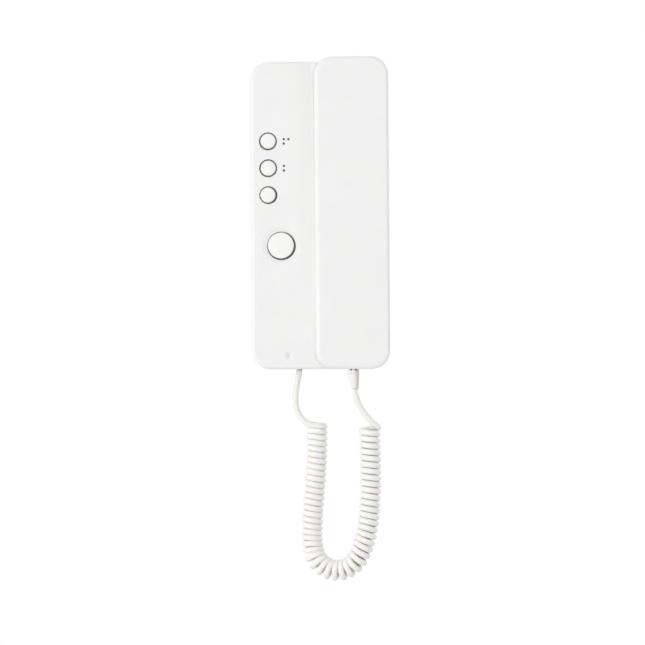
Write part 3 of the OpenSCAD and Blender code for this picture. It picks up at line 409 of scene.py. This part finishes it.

# Where the painted shade and light set in, and where the cord's tails darken, as an axis and two places
# in millimetres
BELOW_PANEL_SHADE = ("Y", -32.6, -31.8)
LOWER_KEY_SHADOW = ("X", -34, -29)
DOOR_KEY_SHADOW_RIGHT = ("X", -26, -18)
DOOR_KEY_SHADOW_BELOW = ("Z", -18, -27)
PLUG_SHADE_RIGHT = ("X", 20.5, 23.5)
PAINTED_LIGHT_BY_HANDSET = ("X", -5.4, -4.3)
ABOVE_FOOT = ("Z", -90, -50)
TAILS = ("Z", -139, -133)
NOTCH_SHADE = ("Z", -103.2, -100.8)

# Painted shade: the keys are dark below the panel's front, in the gaps round them, and the lower and the
# door key carry a painted shadow on their right, the door key also below. The plug's right is painted
# darker and warmer as shade, the cover has painted light in the crease beside the handset, the cord
# has painted shade in its notch, and the cord's tails are darker than its curls.
grade(upper_keys_painted_shade, (0.4, 0.39, 0.38), BELOW_PANEL_SHADE)
grade(lower_key_painted_shade, (0.55, 0.53, 0.5), BELOW_PANEL_SHADE)
# Painted shadow to the right of the lower key
grade(lower_key_painted_shade, (0.12, 0.11, 0.1), BELOW_PANEL_SHADE, LOWER_KEY_SHADOW)
grade(door_key_painted_shade, (0.9, 0.88, 0.84), BELOW_PANEL_SHADE)
# Painted shadow to the right of and below the door key
grade(door_key_painted_shade, (0.25, 0.23, 0.2), BELOW_PANEL_SHADE, DOOR_KEY_SHADOW_RIGHT)
grade(door_key_painted_shade, (0.35, 0.33, 0.3), BELOW_PANEL_SHADE, DOOR_KEY_SHADOW_BELOW)
# Painted shade: the plug darker and warmer towards its right side
grade(plug_abs, (0.8, 0.72, 0.66), PLUG_SHADE_RIGHT)
# Painted light: the cover paler in the crease beside the handset, fading out towards its foot
grade(cover_painted_light, (1.1, 1.1, 1.1), PAINTED_LIGHT_BY_HANDSET, ABOVE_FOOT)
grade(cord_pvc, (0.93, 0.94, 0.925), TAILS)
# Painted shade where the cord goes into its notch under the base
grade(cord_pvc, (0.55, 0.54, 0.5), NOTCH_SHADE)
translucent(cord_pvc, 0.45, 0.002)
translucent(white_abs, 0.3, 0.0015)
translucent(cover_painted_light, 0.3, 0.0015)

# The record's material slots, and the nodes that take a material of their own: the keys with their own
# finish and painted shade, the front cover with painted light
MATERIALS = {
    "white_abs": white_abs,
    "grey_abs": plastic("grey_abs", (0.50, 0.50, 0.49), vary=0.03),
    "board_green": plastic("board_green", (0.03, 0.16, 0.07), vary=0.2, rough=(0.25, 0.4)),
    "steel": plastic("steel", (0.55, 0.55, 0.54), vary=0.08, rough=(0.25, 0.4), metal=1.0),
    "black_plastic": plastic("black_plastic", (0.02, 0.02, 0.022), vary=0.2, rough=(0.35, 0.5)),
    "terminal_green": plastic("terminal_green", (0.03, 0.20, 0.08), vary=0.1),
    "speaker_metal": plastic("speaker_metal", (0.32, 0.33, 0.35), vary=0.1, rough=(0.3, 0.45), metal=1.0),
    "clear_plastic": plastic("clear_plastic", (0.70, 0.74, 0.76), vary=0.03, rough=(0.1, 0.2)),
    "lamp_green": plastic("lamp_green", (0.20, 0.45, 0.20), vary=0.05, rough=(0.1, 0.2)),
    "light_guide": plastic("light_guide", (0.69, 0.69, 0.68), vary=0.02, rough=(0.15, 0.25)),
    "plunger_tan": plastic("plunger_tan", (0.40, 0.25, 0.10), vary=0.1),
    "seal_rubber": plastic("seal_rubber", (0.03, 0.03, 0.03), vary=0.2, rough=(0.6, 0.75)),
    "plug_plastic": plug_abs,
    "wire_red": plastic("wire_red", (0.45, 0.02, 0.015), vary=0.1),
    "wire_blue": plastic("wire_blue", (0.015, 0.03, 0.28), vary=0.1),
    "cord_jacket": cord_pvc,
}
OWN = {"front_cover": cover_painted_light, "upper_key": upper_keys_painted_shade, "middle_key": upper_keys_painted_shade, "lower_key": lower_key_painted_shade,
       "door_key": door_key_painted_shade}
slots = {s["node"]: s["material_slot"] for s in frame["record"]["subparts"]}
SHARP_ANGLE = 32
WELD_REACH = 1e-6


def soft_normals():
    """A node group that shades smooth and keeps sharp edges."""
    g = bpy.data.node_groups.new("soft_normals", "GeometryNodeTree")
    g.interface.new_socket("Geometry", in_out="INPUT", socket_type="NodeSocketGeometry")
    g.interface.new_socket("Geometry", in_out="OUTPUT", socket_type="NodeSocketGeometry")
    a = g.nodes.new("NodeGroupInput")
    z = g.nodes.new("NodeGroupOutput")
    faces = g.nodes.new("GeometryNodeSetShadeSmooth")
    faces.domain = "FACE"
    edges = g.nodes.new("GeometryNodeSetShadeSmooth")
    edges.domain = "EDGE"
    edges.inputs["Shade Smooth"].default_value = False
    angle = g.nodes.new("GeometryNodeInputMeshEdgeAngle")
    more = g.nodes.new("FunctionNodeCompare")
    more.data_type = "FLOAT"
    more.operation = "GREATER_THAN"
    more.inputs[1].default_value = math.radians(SHARP_ANGLE)
    link(g, a.outputs[0], faces.inputs["Geometry"])
    link(g, faces.outputs[0], edges.inputs["Geometry"])
    link(g, angle.outputs["Unsigned Angle"], more.inputs[0])
    link(g, more.outputs[0], edges.inputs["Selection"])
    link(g, edges.outputs[0], z.inputs[0])
    return g


soft_group = soft_normals()
for name, obj in nodes.items():
    obj.data.materials.clear()
    obj.data.materials.append(OWN.get(name) or MATERIALS[slots[name]])
    weld = obj.modifiers.new("weld", "WELD")
    weld.merge_threshold = WELD_REACH
    soft = obj.modifiers.new("soft", "NODES")
    soft.node_group = soft_group
    even = obj.modifiers.new("even", "WEIGHTED_NORMAL")
    even.keep_sharp = True
cord.data.materials.append(cord_pvc)
dots.data.materials.append(print_grey)


# Light and stage, in metres
# Each lamp by its name, place, width and power
LAMPS = [("key", (-1.6, -1.25, -0.05), 0.9, 9.5), ("front", (-0.4, -1.9, 0.0), 2.0, 5)]
LAMP_AIM = (0, 0, -0.08)
FILL = 0.79
FLOOR_SIZE = 0.5
FLOOR_PLACE = (0, -0.25, -0.4)
WHITE = (1, 1, 1, 1)


def add_lamp(name, place, width, power):
    data = bpy.data.lights.new(name, "AREA")
    data.shape = "DISK"
    data.size = width
    data.energy = power
    lamp = bpy.data.objects.new(name, data)
    lamp.location = place
    lamp.rotation_euler = (Vector(LAMP_AIM) - Vector(place)).to_track_quat("-Z", "Y").to_euler()
    scene.collection.objects.link(lamp)


def background(tree, strength):
    node = tree.nodes.new("ShaderNodeBackground")
    node.inputs["Color"].default_value = WHITE
    node.inputs["Strength"].default_value = strength
    return node.outputs[0]


def white_world():
    """A world that looks white, also in gloss and glass, and lights the object by the fill."""
    world = bpy.data.worlds.new("studio")
    scene.world = world
    world.use_nodes = True
    tree = world.node_tree
    tree.nodes.clear()
    rays = tree.nodes.new("ShaderNodeLightPath")
    seen = rays.outputs["Is Camera Ray"]
    for kind in ("Is Glossy Ray", "Is Transmission Ray"):
        either = tree.nodes.new("ShaderNodeMath")
        either.operation = "MAXIMUM"
        link(tree, seen, either.inputs[0])
        link(tree, rays.outputs[kind], either.inputs[1])
        seen = either.outputs[0]
    mix = tree.nodes.new("ShaderNodeMixShader")
    link(tree, seen, mix.inputs[0])
    link(tree, background(tree, FILL), mix.inputs[1])
    link(tree, background(tree, 1.0), mix.inputs[2])
    out = tree.nodes.new("ShaderNodeOutputWorld")
    link(tree, mix.outputs[0], out.inputs["Surface"])


def add_floor():
    bm = bmesh.new()
    bmesh.ops.create_grid(bm, x_segments=2, y_segments=2, size=FLOOR_SIZE)
    obj = add_mesh("floor", bm)
    obj.location = FLOOR_PLACE
    obj.data.materials.append(
        plastic("floor_white", (0.85, 0.85, 0.85), vary=0.01, rough=(0.7, 0.8), grain=300))


for lamp in LAMPS:
    add_lamp(*lamp)
white_world()
add_floor()
